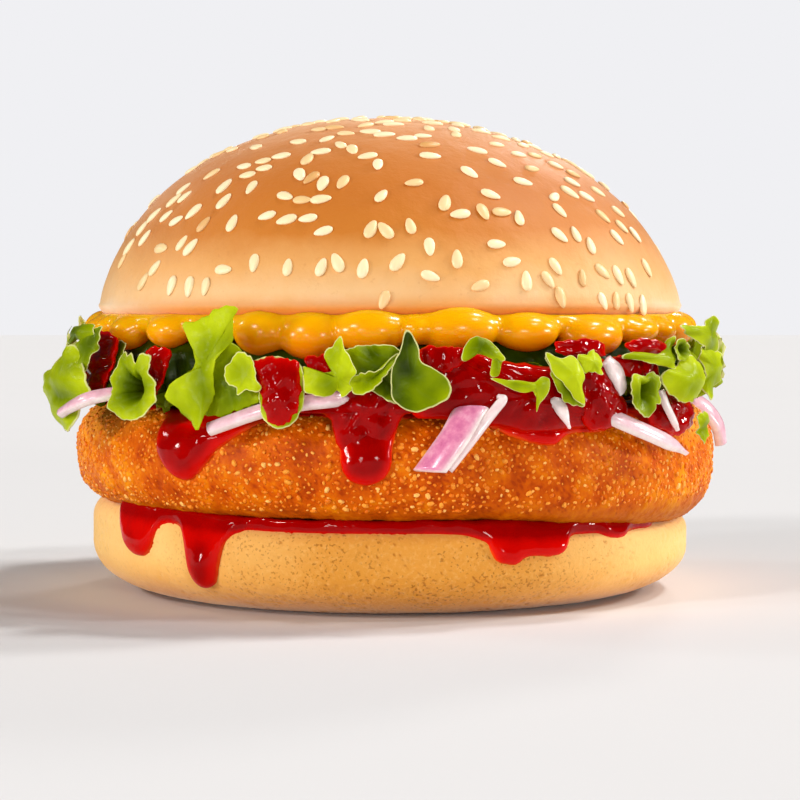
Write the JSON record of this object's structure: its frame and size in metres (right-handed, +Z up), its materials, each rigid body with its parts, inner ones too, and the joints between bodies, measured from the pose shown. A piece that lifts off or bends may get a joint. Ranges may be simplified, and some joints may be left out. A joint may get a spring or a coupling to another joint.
{
  "type": "veggie burger",
  "caption": "Veggie burger in a sesame bun: breaded patty with red sauce, red onion, curly lettuce and melted cheese sauce",
  "frame": {"origin": "the middle of the flat underside of the bottom bun", "axes": "+Z up through the layers, +X to the right and -Y to the front, which is the side seen in the picture"},
  "size_m": [0.1219, 0.1223, 0.0822],
  "materials": {
    "crust": "smooth golden-brown crust with a soft sheen",
    "crumb": "matt pale golden bread with fine pores",
    "breading": "rough fried golden-orange crumb",
    "chilli_sauce": "wet glossy deep red",
    "onion": "moist, white with a purple-pink skin side",
    "lettuce": "fresh leaf with pale edges and a soft sheen",
    "cheese_sauce": "glossy yellow-orange"
  },
  "bodies": {
    "root": {"bottom_bun": "crumb", "lower_sauce": "chilli_sauce", "patty": "breading", "upper_sauce": "chilli_sauce", "onion_strip_01": "onion", "onion_strip_02": "onion", "onion_strip_03": "onion", "onion_strip_04": "onion", "onion_strip_05": "onion", "onion_strip_06": "onion", "onion_strip_07": "onion", "onion_strip_08": "onion", "onion_strip_09": "onion", "onion_strip_10": "onion", "onion_strip_11": "onion", "lower_lettuce": "lettuce", "upper_lettuce": "lettuce", "cheese_sauce": "cheese_sauce", "top_bun": "crust"}
  },
  "joints": []
}
